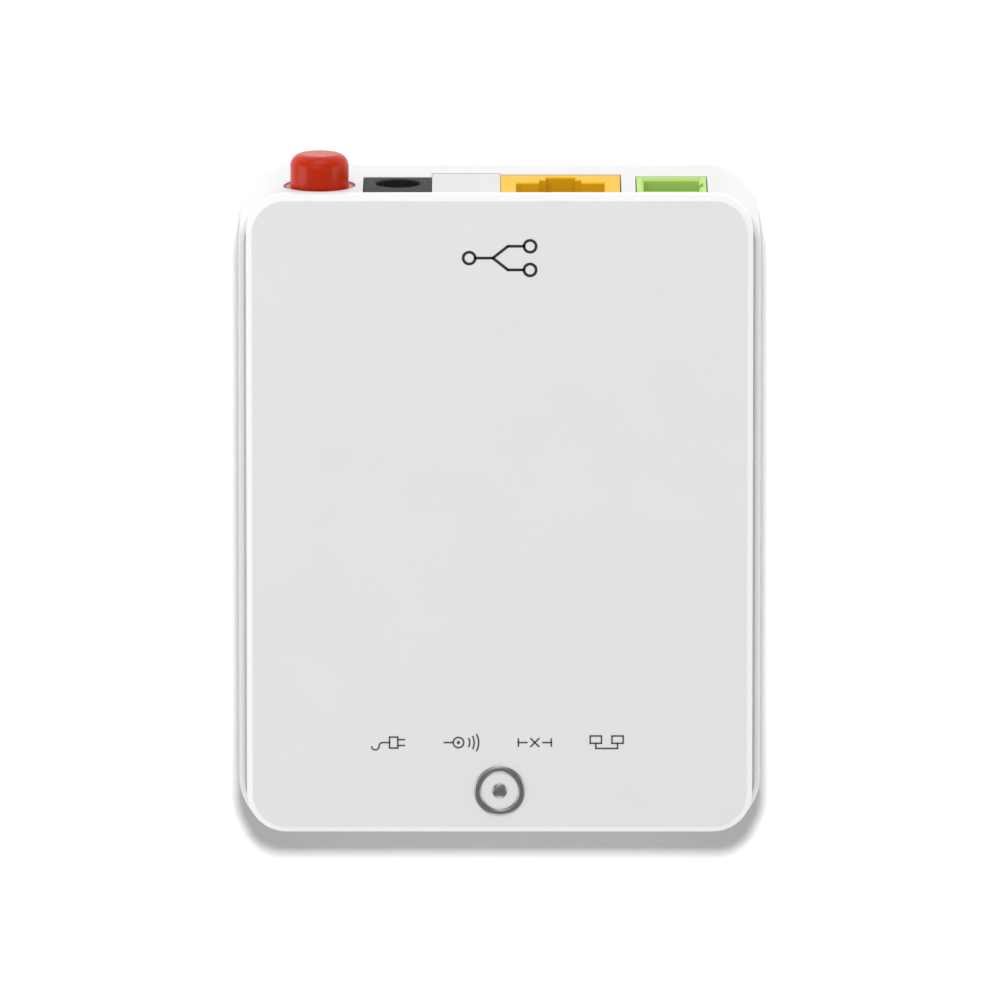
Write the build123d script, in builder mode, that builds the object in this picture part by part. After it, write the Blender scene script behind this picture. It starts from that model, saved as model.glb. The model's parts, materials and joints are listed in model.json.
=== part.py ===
from build123d import *
import os

# A small optical network terminal, lying on its back.
# +Z is up, out of the front cover. +Y points out of the wall with the ports. +X is right, read from above.
# The origin is under the middle of the box that holds the whole object, on the desk.
# The circuit board hangs close under the cover, so its tall parts reach down towards the desk.

# ---------------------------------------------------------------- driving dimensions, in millimetres
BODY_HEIGHT = 25.0  # desk to the cover's face
COVER_WIDTH = 67.5
COVER_LENGTH = 86.6
COVER_RIM = 2.4  # height of the cover's edge above the parting plane
COVER_CORNER = 5.3
COVER_SKIN = 1.8
COVER_SKIRT = 1.6
HOUSING_WIDTH = 69.6
HOUSING_LENGTH = 86.95
HOUSING_CORNER = 7.4
WALL = 1.8
FLOOR = 2.0
FOOT_STANDOUT = 0.8
BUTTON_STANDOUT = 4.3

PORT_RECESS = 0.1  # the connectors sit this far behind the port wall
PORT_GAP = 0.15  # round each connector, in its notch
BLANK_GAP = 0.06  # round the blank plate
CONNECTOR_TOP_Z = 22.4  # just under the cover's edge
SEAT_DEPTH = 3.7  # how much of a jack's back end sits under the board
TOUCH_GAP = 0.1  # between stacked pieces that only meet

BOARD_BOTTOM = 20.8
BOARD_THICKNESS = 1.2

# places of the port wall's features, along X
BUTTON_X = -24.0
POWER_JACK_X = -13.55
LAN_JACK_X = 8.1
OPTICAL_X = 22.9

# ---------------------------------------------------------------- worked-out places
PORT_WALL_Y = (HOUSING_LENGTH - BUTTON_STANDOUT) / 2
HOUSING_Y = PORT_WALL_Y - HOUSING_LENGTH / 2
COVER_Y = PORT_WALL_Y - COVER_LENGTH / 2
COVER_FRONT_Y = PORT_WALL_Y - COVER_LENGTH
PORT_FACE_Y = PORT_WALL_Y - PORT_RECESS
INNER_X = HOUSING_WIDTH / 2 - WALL
INNER_FRONT_Y = PORT_WALL_Y - HOUSING_LENGTH + WALL

PARTING_Z = BODY_HEIGHT - COVER_RIM
COVER_INSIDE_Z = BODY_HEIGHT - COVER_SKIN
HOUSING_BOTTOM_Z = FOOT_STANDOUT
FLOOR_TOP_Z = HOUSING_BOTTOM_Z + FLOOR
BOARD_TOP_Z = BOARD_BOTTOM + BOARD_THICKNESS

# pieces in the port wall: width along X, height along Z, depth along Y
POWER_JACK = (9.0, 10.9, 14.2)
LAN_JACK = (15.9, 12.7, 18.0)
OPTICAL_ADAPTER = (9.3, 11.4, 20.0)
OPTICAL_Z = CONNECTOR_TOP_Z - OPTICAL_ADAPTER[1] / 2
BUTTON_Z = 17.3

# the blank plate fills the wall between the two jacks
BLANK_LEFT = POWER_JACK_X + POWER_JACK[0] / 2 + BLANK_GAP
BLANK_RIGHT = LAN_JACK_X - LAN_JACK[0] / 2 - BLANK_GAP
BLANK_X = (BLANK_LEFT + BLANK_RIGHT) / 2
PORT_BLANK = (BLANK_RIGHT - BLANK_LEFT, 13.9, 1.85)

# fastening and support places
CASE_SCREWS = [(-25.5, -27.0), (25.5, -27.0)]
BOARD_SCREWS = [(-28.3, -4.0), (28.3, -4.0)]
BOARD_PINS = [(-4.45, 31.0), (0.0, -38.6)]
FEET = [(x, y) for x in (-26.5, 26.5) for y in (HOUSING_Y - 35.6, HOUSING_Y + 35.6)]
KEYHOLES = [(-20.0, 9.0), (20.0, 9.0)]
LED_XS = [-14.5, -4.75, 4.75, 14.3]
LED_Y = COVER_FRONT_Y + 16.3

os.makedirs("parts", exist_ok=True)


def write(name, label):
    """Labels a finished piece and writes it as one STEP file."""
    name.part.label = label
    export_step(name.part, f"parts/{label}.step")


def port_plane(y):
    """A plane across Y that faces out of the port wall. Its local X is -X of the part, its local Y is Z."""
    return Plane(origin=(0, y, 0), x_dir=(-1, 0, 0), z_dir=(0, 1, 0))


def flush(size, x):
    """Centre of a connector's face on port_plane: its top is level with the others."""
    return (-x, CONNECTOR_TOP_Z - size[1] / 2)


# ---------------------------------------------------------------- rear housing
FLOOR_EDGE = 1.2
SHOULDER_EDGE = 0.45
RIM_WIDTH, GROOVE_DEPTH = 0.7, 0.3  # the housing's rim, and the shadow gap between it and the cover
BUTTON_HOLE_R = 4.8
RESET_Y, RESET_Z = 8.0, 19.0
RESET_HOLE_R = 0.9
FOOT_R, FOOT_SOCKET = 4.0, 0.5
TOWER_R, TOWER_TOP_Z = 3.4, 17.8
SCREW_SEAT_Z = 14.8
SCREW_HEAD_HOLE_R, SCREW_SHANK_HOLE_R = 2.6, 1.4
PILLAR_R = 2.2
PIN_R = 0.95
KEYHOLE_HEAD_R, KEYHOLE_SLOT_R, KEYHOLE_RISE = 3.6, 2.0, 7.0
CUP_WALL, CUP_TOP_Z = 1.2, 7.6
VENT_PITCH, VENT_COUNT, VENT_WIDTH, VENT_HEIGHT = 3.6, 8, 1.7, 9.0
VENT_Y, VENT_Z = -10.0, 11.0
FLOOR_VENT_LENGTH = 13.0
HOOK_YS = (-20.0, 15.0)
HOOK_LENGTH, HOOK_DEPTH = 7.0, 0.45
HOOK_NUB_Z = 19.4
CLIP_TOP_Z = 11.0

# the pieces that stand in notches of the port wall: (x, size, gap)
NOTCHES = [
    (POWER_JACK_X, POWER_JACK, PORT_GAP),
    (BLANK_X, PORT_BLANK, BLANK_GAP),
    (LAN_JACK_X, LAN_JACK, PORT_GAP),
    (OPTICAL_X, OPTICAL_ADAPTER, PORT_GAP),
]
# fibre clips: (x, y, turn), where turn 0 opens to the left
CLIPS = [(-20.6, -11.0, 0), (4.0, -25.2, -90), (20.6, -13.0, 180)]
CLIP_WIDTH, CLIP_REACH, CLIP_THICKNESS, CLIP_LIP = 4.0, 3.6, 1.2, 0.8

with BuildPart() as rear_housing:
    with BuildSketch(Plane.XY.offset(HOUSING_BOTTOM_Z)):
        with Locations((0, HOUSING_Y)):
            RectangleRounded(HOUSING_WIDTH, HOUSING_LENGTH, HOUSING_CORNER)
    extrude(amount=PARTING_Z - HOUSING_BOTTOM_Z)
    fillet(rear_housing.edges().group_by(Axis.Z)[0], FLOOR_EDGE)
    fillet(rear_housing.edges().group_by(Axis.Z)[-1], SHOULDER_EDGE)
    # the port wall runs square up to the cover, without the rounded shoulder
    with Locations((0, PORT_WALL_Y, PARTING_Z)):
        Box(
            HOUSING_WIDTH - 2 * HOUSING_CORNER,
            SHOULDER_EDGE * 2,
            SHOULDER_EDGE * 2,
            align=(Align.CENTER, Align.MAX, Align.MAX),
        )
    # a narrow groove between the cover's edge and the housing's rim; it runs out at the port wall
    with BuildSketch(Plane.XY.offset(PARTING_Z)):
        with Locations((0, HOUSING_Y)):
            RectangleRounded(
                HOUSING_WIDTH - 2 * RIM_WIDTH,
                HOUSING_LENGTH - 2 * RIM_WIDTH,
                HOUSING_CORNER - RIM_WIDTH,
            )
        with Locations((0, COVER_Y)):
            RectangleRounded(COVER_WIDTH, COVER_LENGTH, COVER_CORNER, mode=Mode.SUBTRACT)
    extrude(amount=-GROOVE_DEPTH, mode=Mode.SUBTRACT)
    # hollow
    with BuildSketch(Plane.XY.offset(FLOOR_TOP_Z)):
        with Locations((0, HOUSING_Y)):
            RectangleRounded(HOUSING_WIDTH - 2 * WALL, HOUSING_LENGTH - 2 * WALL, HOUSING_CORNER - WALL)
    extrude(amount=BODY_HEIGHT, mode=Mode.SUBTRACT)
    # towers for the case screws, pillars for the board, cups over the keyholes
    with BuildSketch(Plane.XY.offset(FLOOR_TOP_Z)):
        with Locations(*CASE_SCREWS):
            Circle(TOWER_R)
    extrude(amount=TOWER_TOP_Z - FLOOR_TOP_Z)
    with BuildSketch(Plane.XY.offset(FLOOR_TOP_Z)):
        with Locations(*BOARD_SCREWS, *BOARD_PINS):
            Circle(PILLAR_R)
    extrude(amount=BOARD_BOTTOM - FLOOR_TOP_Z)
    with BuildSketch(Plane.XY.offset(FLOOR_TOP_Z)):
        with Locations(*[(x, y + KEYHOLE_RISE / 2) for x, y in KEYHOLES]):
            SlotCenterToCenter(KEYHOLE_RISE, 2 * (KEYHOLE_HEAD_R + CUP_WALL), rotation=90)
    extrude(amount=CUP_TOP_Z - FLOOR_TOP_Z)
    # locating pins that pass through the board
    with BuildSketch(Plane.XY.offset(BOARD_BOTTOM)):
        with Locations(*BOARD_PINS):
            Circle(PIN_R)
    extrude(amount=BOARD_THICKNESS - TOUCH_GAP)
    # fibre clips: a post with a lip that keeps the fibre down
    for x, y, turn in CLIPS:
        with Locations(Location((x, y, FLOOR_TOP_Z), (0, 0, turn))):
            Box(
                CLIP_THICKNESS,
                CLIP_WIDTH,
                CLIP_TOP_Z - FLOOR_TOP_Z,
                align=(Align.MIN, Align.CENTER, Align.MIN),
            )
        with Locations(Location((x, y, CLIP_TOP_Z), (0, 0, turn))):
            Box(CLIP_REACH, CLIP_WIDTH, CLIP_LIP, align=(Align.MAX, Align.CENTER, Align.MAX))
            Box(CLIP_THICKNESS, CLIP_WIDTH, CLIP_LIP, align=(Align.MIN, Align.CENTER, Align.MAX))
    # keyholes: a round hole for a screw's head, then a slot for its shank towards the ports
    with BuildSketch(Plane.XY):
        with Locations(*KEYHOLES):
            Circle(KEYHOLE_HEAD_R)
        with Locations(*[(x, y + KEYHOLE_RISE / 2) for x, y in KEYHOLES]):
            SlotCenterToCenter(KEYHOLE_RISE, 2 * KEYHOLE_SLOT_R, rotation=90)
    extrude(amount=FLOOR_TOP_Z, mode=Mode.SUBTRACT)
    with BuildSketch(Plane.XY.offset(FLOOR_TOP_Z)):
        with Locations(*[(x, y + KEYHOLE_RISE / 2) for x, y in KEYHOLES]):
            SlotCenterToCenter(KEYHOLE_RISE, 2 * KEYHOLE_HEAD_R, rotation=90)
    extrude(amount=CUP_TOP_Z - CUP_WALL - FLOOR_TOP_Z, mode=Mode.SUBTRACT)
    # screw holes: head from below, shank through the top of the tower
    with Locations(*[(x, y, TOWER_TOP_Z) for x, y in CASE_SCREWS]):
        Hole(SCREW_SHANK_HOLE_R, depth=TOWER_TOP_Z)
    with Locations(*[Location((x, y, 0)) for x, y in CASE_SCREWS]):
        Cylinder(
            SCREW_HEAD_HOLE_R,
            SCREW_SEAT_Z,
            align=(Align.CENTER, Align.CENTER, Align.MIN),
            mode=Mode.SUBTRACT,
        )
    with Locations(*[(x, y, BOARD_BOTTOM) for x, y in BOARD_SCREWS]):
        Hole(1.05, depth=6.0)
    # sockets for the rubber feet
    with BuildSketch(Plane.XY):
        with Locations(*FEET):
            Circle(FOOT_R + TOUCH_GAP)
    extrude(amount=HOUSING_BOTTOM_Z + FOOT_SOCKET, mode=Mode.SUBTRACT)
    # side vents and floor vents
    for side in (-1, 1):
        with BuildSketch(Plane.YZ.offset(side * HOUSING_WIDTH / 2)):
            with Locations((VENT_Y, VENT_Z)):
                with GridLocations(VENT_PITCH, 0, VENT_COUNT, 1):
                    SlotOverall(VENT_HEIGHT, VENT_WIDTH, rotation=90)
        extrude(amount=-side * (WALL + 0.2), mode=Mode.SUBTRACT)
    with BuildSketch(Plane.XY):
        with Locations((0, VENT_Y)):
            with GridLocations(VENT_PITCH, FLOOR_VENT_LENGTH + 3.0, VENT_COUNT, 2):
                SlotOverall(FLOOR_VENT_LENGTH, VENT_WIDTH, rotation=90)
    extrude(amount=FLOOR_TOP_Z, mode=Mode.SUBTRACT)
    # reset pinhole through the left wall
    with BuildSketch(Plane.YZ.offset(-HOUSING_WIDTH / 2 - 1)):
        with Locations((RESET_Y, RESET_Z)):
            Circle(RESET_HOLE_R)
    extrude(amount=WALL + 2, mode=Mode.SUBTRACT)
    # pockets for the cover's snap hooks
    with Locations(*[(side * INNER_X, y, HOOK_NUB_Z) for side in (-1, 1) for y in HOOK_YS]):
        Box(
            2 * (HOOK_DEPTH + 0.3),
            HOOK_LENGTH + 0.6,
            1.6,
            align=(Align.CENTER, Align.CENTER, Align.CENTER),
            mode=Mode.SUBTRACT,
        )
    # the button's hole, and the notches
    with BuildSketch(port_plane(PORT_WALL_Y + 1)):
        with Locations((-BUTTON_X, BUTTON_Z)):
            Circle(BUTTON_HOLE_R)
    extrude(amount=-(WALL + 2), mode=Mode.SUBTRACT)
    for x, size, gap in NOTCHES:
        with Locations((x, PORT_WALL_Y, CONNECTOR_TOP_Z - size[1] - gap)):
            Box(
                size[0] + 2 * gap,
                2 * (WALL + 1),
                BODY_HEIGHT,
                align=(Align.CENTER, Align.CENTER, Align.MIN),
                mode=Mode.SUBTRACT,
            )
write(rear_housing, "rear_housing")

# ---------------------------------------------------------------- front cover
COVER_BEVEL, COVER_BEVEL_EDGE = 0.75, 0.15
LIP_GAP, LIP_THICKNESS, LIP_DEPTH = 0.15, 1.0, 1.3
POST_R, POST_PILOT_R = 2.7, 1.25
LED_POCKET_R, LED_SKIN = 1.6, 0.7
LIP_X = INNER_X - LIP_GAP
LIP_FRONT_Y = INNER_FRONT_Y + LIP_GAP

with BuildPart() as front_cover:
    with BuildSketch(Plane.XY.offset(PARTING_Z)):
        with Locations((0, COVER_Y)):
            RectangleRounded(COVER_WIDTH, COVER_LENGTH, COVER_CORNER)
    extrude(amount=COVER_RIM)
    chamfer(front_cover.edges().group_by(Axis.Z)[-1], COVER_BEVEL)
    fillet(front_cover.edges().group_by(Axis.Z)[-1], COVER_BEVEL_EDGE)
    with BuildSketch(Plane.XY.offset(PARTING_Z)):
        with Locations((0, COVER_Y)):
            RectangleRounded(
                COVER_WIDTH - 2 * COVER_SKIRT,
                COVER_LENGTH - 2 * COVER_SKIRT,
                COVER_CORNER - COVER_SKIRT,
            )
    extrude(amount=COVER_RIM - COVER_SKIN, mode=Mode.SUBTRACT)
    # lips that drop inside the housing's side walls and its front wall
    for side in (-1, 1):
        with Locations((side * (LIP_X - LIP_THICKNESS / 2), -8.0, PARTING_Z - LIP_DEPTH)):
            Box(
                LIP_THICKNESS,
                56.0,
                COVER_INSIDE_Z - PARTING_Z + LIP_DEPTH,
                align=(Align.CENTER, Align.CENTER, Align.MIN),
            )
    with Locations((0, LIP_FRONT_Y + LIP_THICKNESS / 2, PARTING_Z - LIP_DEPTH)):
        Box(
            50.0,
            LIP_THICKNESS,
            COVER_INSIDE_Z - PARTING_Z + LIP_DEPTH,
            align=(Align.CENTER, Align.CENTER, Align.MIN),
        )
    # snap hooks under the side lips
    for side in (-1, 1):
        for y in HOOK_YS:
            with Locations((side * (LIP_X - LIP_THICKNESS / 2), y, PARTING_Z - LIP_DEPTH)):
                Box(
                    LIP_THICKNESS,
                    HOOK_LENGTH,
                    PARTING_Z - LIP_DEPTH - HOOK_NUB_Z + 0.5,
                    align=(Align.CENTER, Align.CENTER, Align.MAX),
                )
            with Locations((side * LIP_X, y, HOOK_NUB_Z)):
                Box(2 * HOOK_DEPTH, HOOK_LENGTH, 1.0)
    # posts that take the case screws
    with BuildSketch(Plane.XY.offset(TOWER_TOP_Z + TOUCH_GAP)):
        with Locations(*CASE_SCREWS):
            Circle(POST_R)
            Circle(POST_PILOT_R, mode=Mode.SUBTRACT)
    extrude(amount=COVER_INSIDE_Z - TOWER_TOP_Z - TOUCH_GAP)
    # thin windows over the indicator lights
    with BuildSketch(Plane.XY.offset(COVER_INSIDE_Z)):
        with Locations(*[(x, LED_Y) for x in LED_XS]):
            Circle(LED_POCKET_R)
    extrude(amount=COVER_SKIN - LED_SKIN, mode=Mode.SUBTRACT)
write(front_cover, "front_cover")

# ---------------------------------------------------------------- network jack's contacts
LAN_CAVITY = (11.8, 6.8, 13.6)
LAN_CAVITY_TOP_Z = CONNECTOR_TOP_Z - 0.6
LATCH_STEPS = [(5.6, 2.0), (3.9, 1.9)]  # width and height of each step of the latch's slot
CONTACT_PITCH, CONTACT_WIDTH, CONTACT_THICKNESS = 1.27, 0.45, 0.35
CONTACT_FRONT_Y = PORT_FACE_Y - 3.2
CONTACT_TAIL_Y = PORT_FACE_Y - LAN_JACK[2] + SEAT_DEPTH / 2
CONTACT_TIP = (CONTACT_FRONT_Y - 7.0, LAN_CAVITY_TOP_Z - 2.0)

with BuildPart() as lan_jack_contacts:
    for number in range(8):
        x = LAN_JACK_X + (number - 3.5) * CONTACT_PITCH
        # a strip comes down through the board, runs to the front and folds back into the cavity
        with BuildSketch(Plane.YZ.offset(x - CONTACT_WIDTH / 2)):
            with BuildLine():
                Polyline(
                    (CONTACT_TAIL_Y, BOARD_TOP_Z + 0.3),
                    (CONTACT_TAIL_Y, BOARD_BOTTOM - 0.3),
                    (CONTACT_FRONT_Y, LAN_CAVITY_TOP_Z - 0.2),
                    CONTACT_TIP,
                )
            trace(line_width=CONTACT_THICKNESS)
        extrude(amount=CONTACT_WIDTH)
write(lan_jack_contacts, "lan_jack_contacts")

# ---------------------------------------------------------------- circuit board
BOARD_WIDTH = 61.6
BOARD_FRONT_Y, BOARD_BACK_Y = -41.6, 39.2
BUTTON_BAY = (11.8, 3.4)  # cut-out behind the button
PIN_HOLE_GAP = 0.1
# cut-outs for what stands through the board's plane: (x, width, front end)
CONNECTOR_BAYS = [
    (POWER_JACK_X, POWER_JACK[0], PORT_FACE_Y - POWER_JACK[2] + SEAT_DEPTH),
    (LAN_JACK_X, LAN_JACK[0], PORT_FACE_Y - LAN_JACK[2] + SEAT_DEPTH),
    (OPTICAL_X, OPTICAL_ADAPTER[0], PORT_FACE_Y - OPTICAL_ADAPTER[2]),
]

with BuildPart() as main_board:
    with BuildSketch(Plane.XY.offset(BOARD_BOTTOM)):
        with Locations((0, (BOARD_FRONT_Y + BOARD_BACK_Y) / 2)):
            RectangleRounded(BOARD_WIDTH, BOARD_BACK_Y - BOARD_FRONT_Y, 2.0)
        with Locations((BUTTON_X, BOARD_BACK_Y)):
            Rectangle(BUTTON_BAY[0], 2 * BUTTON_BAY[1], mode=Mode.SUBTRACT)
        for x, width, front_y in CONNECTOR_BAYS:
            with Locations((x, front_y - PORT_GAP)):
                Rectangle(
                    width + 2 * PORT_GAP,
                    BOARD_BACK_Y - front_y + 1,
                    align=(Align.CENTER, Align.MIN),
                    mode=Mode.SUBTRACT,
                )
        with Locations(*CASE_SCREWS):
            Circle(POST_R + 0.4, mode=Mode.SUBTRACT)
        with Locations(*BOARD_SCREWS):
            Circle(1.15, mode=Mode.SUBTRACT)
        with Locations(*BOARD_PINS):
            Circle(PIN_R + PIN_HOLE_GAP, mode=Mode.SUBTRACT)
    extrude(amount=BOARD_THICKNESS)
    add(lan_jack_contacts.part, mode=Mode.SUBTRACT)
write(main_board, "main_board")


def chip(length, width, height, x, y):
    """A chip's body that hangs under the board, with a chamfer on its lower edges."""
    with BuildPart() as body:
        with Locations((x, y, BOARD_BOTTOM)):
            Box(length, width, height, align=(Align.CENTER, Align.CENTER, Align.MAX))
        chamfer(body.edges().group_by(Axis.Z)[0], 0.15)
    return body


PROCESSOR_X, PROCESSOR_Y, PROCESSOR_SIZE, PROCESSOR_HEIGHT = 1.0, -11.0, 14.0, 1.2
main_processor = chip(PROCESSOR_SIZE, PROCESSOR_SIZE, PROCESSOR_HEIGHT, PROCESSOR_X, PROCESSOR_Y)
write(main_processor, "main_processor")

memory_chip = chip(9.0, 12.6, 1.1, -16.5, -11.0)
write(memory_chip, "memory_chip")

flash_chip = chip(6.0, 5.2, 1.7, -13.5, 4.0)
write(flash_chip, "flash_chip")

optical_driver_chip = chip(5.0, 5.0, 0.9, 15.5, -8.0)
write(optical_driver_chip, "optical_driver_chip")

# heat sink on a soft pad under the processor
PAD_THICKNESS = 0.5
SINK_SIZE, SINK_BASE, SINK_HEIGHT = 20.0, 1.5, 6.0
PAD_TOP_Z = BOARD_BOTTOM - PROCESSOR_HEIGHT

with BuildPart() as thermal_pad:
    with Locations((PROCESSOR_X, PROCESSOR_Y, PAD_TOP_Z)):
        Box(
            PROCESSOR_SIZE - 1,
            PROCESSOR_SIZE - 1,
            PAD_THICKNESS,
            align=(Align.CENTER, Align.CENTER, Align.MAX),
        )
write(thermal_pad, "thermal_pad")

with BuildPart() as heat_sink:
    with Locations((PROCESSOR_X, PROCESSOR_Y, PAD_TOP_Z - PAD_THICKNESS)):
        Box(SINK_SIZE, SINK_SIZE, SINK_BASE, align=(Align.CENTER, Align.CENTER, Align.MAX))
        with GridLocations(2.7, 0, 8, 1):
            Box(1.0, SINK_SIZE, SINK_HEIGHT, align=(Align.CENTER, Align.CENTER, Align.MAX))
write(heat_sink, "heat_sink")

# power parts and small parts
with BuildPart() as filter_capacitors:
    with BuildSketch(Plane.XY.offset(BOARD_BOTTOM - 7.7)):
        with Locations((-15.9, 22.6), (-8.6, 22.6)):
            Circle(3.15)
    extrude(amount=7.7)
    fillet(filter_capacitors.edges().group_by(Axis.Z)[0], 0.5)
write(filter_capacitors, "filter_capacitors")

with BuildPart() as power_inductor:
    with BuildSketch(Plane.XY.offset(BOARD_BOTTOM)):
        with Locations((-25.0, 15.8)):
            RectangleRounded(6.6, 6.6, 1.2)
    extrude(amount=-3.0)
write(power_inductor, "power_inductor")

with BuildPart() as clock_crystal:
    with BuildSketch(Plane.XY.offset(BOARD_BOTTOM)):
        with Locations((14.5, -18.0)):
            RectangleRounded(3.2, 5.0, 0.6)
    extrude(amount=-1.0)
write(clock_crystal, "clock_crystal")

with BuildPart() as lan_transformer:
    with Locations((LAN_JACK_X, 17.6, BOARD_BOTTOM)):
        Box(12.7, 7.0, 5.6, align=(Align.CENTER, Align.CENTER, Align.MAX))
    chamfer(lan_transformer.edges().group_by(Axis.Z)[0], 0.4)
write(lan_transformer, "lan_transformer")

with BuildPart() as board_small_parts:
    with Locations((-6.4, 14.6, BOARD_BOTTOM)):
        with GridLocations(2.6, 2.0, 5, 3):
            Box(1.6, 0.8, 0.6, align=(Align.CENTER, Align.CENTER, Align.MAX))
    with Locations((1.0, -31.5, BOARD_BOTTOM)):
        with GridLocations(3.2, 2.2, 7, 2):
            Box(0.8, 1.6, 0.5, align=(Align.CENTER, Align.CENTER, Align.MAX))
write(board_small_parts, "board_small_parts")

# ---------------------------------------------------------------- indicator lights
GUIDE_LENS_R, GUIDE_BOTTOM_Z, GUIDE_RUNNER = 1.4, 22.75, 0.4

with BuildPart() as status_leds:
    with Locations(*[(x, LED_Y, BOARD_TOP_Z) for x in LED_XS]):
        Box(1.6, 0.8, 0.6, align=(Align.CENTER, Align.CENTER, Align.MIN))
write(status_leds, "status_leds")

with BuildPart() as led_light_guide:
    with BuildSketch(Plane.XY.offset(GUIDE_BOTTOM_Z)):
        with Locations(*[(x, LED_Y) for x in LED_XS]):
            Circle(GUIDE_LENS_R)
    extrude(amount=COVER_INSIDE_Z + COVER_SKIN - LED_SKIN - TOUCH_GAP - GUIDE_BOTTOM_Z)
    with Locations(((LED_XS[0] + LED_XS[-1]) / 2, LED_Y, GUIDE_BOTTOM_Z)):
        Box(
            LED_XS[-1] - LED_XS[0],
            1.6,
            GUIDE_RUNNER,
            align=(Align.CENTER, Align.CENTER, Align.MIN),
        )
write(led_light_guide, "led_light_guide")

# ---------------------------------------------------------------- network jack
def jack_body(size, x):
    """A jack's block. Its back end steps down under the board, which carries it."""
    with BuildPart() as body:
        with BuildSketch(port_plane(PORT_FACE_Y)):
            with Locations(flush(size, x)):
                Rectangle(size[0], size[1])
        extrude(amount=-size[2])
        with Locations((x, PORT_FACE_Y - size[2] + SEAT_DEPTH, BOARD_BOTTOM)):
            Box(
                size[0],
                SEAT_DEPTH,
                CONNECTOR_TOP_Z - BOARD_BOTTOM,
                align=(Align.CENTER, Align.MAX, Align.MIN),
                mode=Mode.SUBTRACT,
            )
    return body


with BuildPart() as lan_jack:
    add(jack_body(LAN_JACK, LAN_JACK_X).part)
    with BuildSketch(port_plane(PORT_FACE_Y)):
        low_z = LAN_CAVITY_TOP_Z - LAN_CAVITY[1]
        with Locations((-LAN_JACK_X, low_z)):
            Rectangle(LAN_CAVITY[0], LAN_CAVITY[1], align=(Align.CENTER, Align.MIN))
        for width, height in LATCH_STEPS:
            with Locations((-LAN_JACK_X, low_z)):
                Rectangle(width, height, align=(Align.CENTER, Align.MAX))
            low_z -= height
    extrude(amount=-LAN_CAVITY[2], mode=Mode.SUBTRACT)
    mouth = lan_jack.faces().sort_by(Axis.Y)[-1]
    chamfer(mouth.inner_wires()[0].edges(), 0.15)
    add(lan_jack_contacts.part, mode=Mode.SUBTRACT)
write(lan_jack, "lan_jack")

# ---------------------------------------------------------------- power jack
JACK_HOLE_R, JACK_HOLE_DEPTH = 3.0, 10.5
JACK_HOLE_Z = CONNECTOR_TOP_Z - 6.9
JACK_PIN_R, JACK_PIN_SETBACK = 1.05, 0.8
JACK_PIN_SEAT_R, JACK_PIN_SEAT = 1.5, 2.0

with BuildPart() as power_jack:
    add(jack_body(POWER_JACK, POWER_JACK_X).part)
    with BuildSketch(port_plane(PORT_FACE_Y)):
        with Locations((-POWER_JACK_X, JACK_HOLE_Z)):
            Circle(JACK_HOLE_R)
    extrude(amount=-JACK_HOLE_DEPTH, mode=Mode.SUBTRACT)
    mouth = power_jack.faces().sort_by(Axis.Y)[-1]
    chamfer(mouth.inner_wires()[0].edges(), 0.15)
    with BuildSketch(port_plane(PORT_FACE_Y)):
        with Locations((-POWER_JACK_X, JACK_HOLE_Z)):
            Circle(JACK_PIN_SEAT_R)
    extrude(amount=-(JACK_HOLE_DEPTH + JACK_PIN_SEAT), mode=Mode.SUBTRACT)
    # a slot for the contact spring, down the side of the hole
    with Locations((POWER_JACK_X, PORT_FACE_Y - JACK_HOLE_DEPTH, JACK_HOLE_Z - JACK_HOLE_R)):
        Box(2.4, 7.0, 1.4, align=(Align.CENTER, Align.MIN, Align.CENTER), mode=Mode.SUBTRACT)
write(power_jack, "power_jack")

with BuildPart() as power_jack_pin:
    with BuildSketch(port_plane(PORT_FACE_Y - JACK_PIN_SETBACK)):
        with Locations((-POWER_JACK_X, JACK_HOLE_Z)):
            Circle(JACK_PIN_R)
    extrude(amount=-(JACK_HOLE_DEPTH - JACK_PIN_SETBACK))
    fillet(power_jack_pin.edges().sort_by(Axis.Y)[-1], 0.5)
    with BuildSketch(port_plane(PORT_FACE_Y - JACK_HOLE_DEPTH)):
        with Locations((-POWER_JACK_X, JACK_HOLE_Z)):
            Circle(JACK_PIN_SEAT_R)
    extrude(amount=-JACK_PIN_SEAT)
write(power_jack_pin, "power_jack_pin")

with BuildPart() as power_jack_spring:
    root_y = PORT_FACE_Y - JACK_HOLE_DEPTH
    low_z = JACK_HOLE_Z - JACK_HOLE_R - 0.5
    with BuildSketch(Plane.YZ.offset(POWER_JACK_X - 1.0)):
        with BuildLine():
            Polyline(
                (root_y + 0.2, low_z),
                (root_y + 3.4, low_z + 0.9),
                (root_y + 6.4, low_z + 0.1),
                (root_y + 6.4, low_z + 0.4),
                (root_y + 3.4, low_z + 1.2),
                (root_y + 0.2, low_z + 0.3),
                close=True,
            )
        make_face()
    extrude(amount=2.0)
write(power_jack_spring, "power_jack_spring")

# ---------------------------------------------------------------- blank plate between the jacks
BLANK_HOOK = (0.75, 3.7)  # thickness, and height; it reaches down behind the wall
BLANK_HOOK_DROP = 1.2

with BuildPart() as port_blank:
    with BuildSketch(port_plane(PORT_FACE_Y)):
        with Locations(flush(PORT_BLANK, BLANK_X)):
            Rectangle(PORT_BLANK[0], PORT_BLANK[1])
    extrude(amount=-PORT_BLANK[2])
    hook_z = CONNECTOR_TOP_Z - PORT_BLANK[1] - BLANK_HOOK_DROP
    with Locations((BLANK_X, PORT_WALL_Y - WALL - TOUCH_GAP, hook_z)):
        Box(
            PORT_BLANK[0],
            BLANK_HOOK[0],
            BLANK_HOOK[1],
            align=(Align.CENTER, Align.MAX, Align.MIN),
        )
write(port_blank, "port_blank")

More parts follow.
